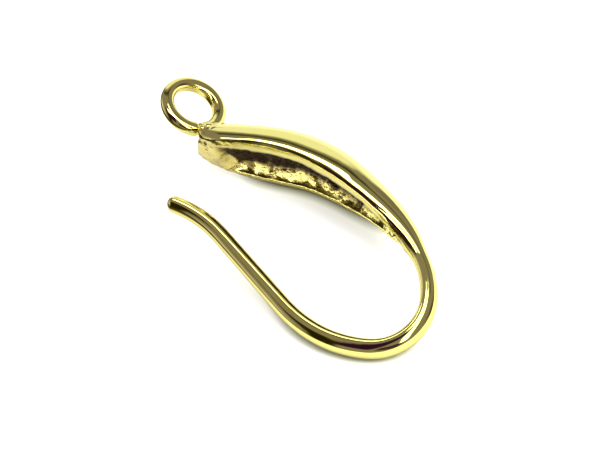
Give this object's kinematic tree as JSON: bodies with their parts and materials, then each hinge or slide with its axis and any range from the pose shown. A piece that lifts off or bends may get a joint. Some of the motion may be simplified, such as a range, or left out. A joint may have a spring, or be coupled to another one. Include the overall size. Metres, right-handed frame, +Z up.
{
  "type": "ear wire",
  "caption": "Ear wire of gold-plated brass: a hook with a flared tip, whose front leg swells into a hollow-backed shell that ends in a soldered loop for a drop.",
  "frame": {"origin": "middle of the bounding box's underside, on the surface the ear wire lies on", "axes": "+X along the straight run of wire, from the tip to the bend; +Y across the hook, from the straight run to the shell; +Z up, off the surface it lies on"},
  "size_m": [0.019, 0.0082, 0.0041],
  "materials": {
    "gold_plate": "polished gold plate outside, rough as cast inside the shell's hollow"
  },
  "bodies": {
    "root": {"ear_wire": "gold_plate"}
  },
  "joints": []
}
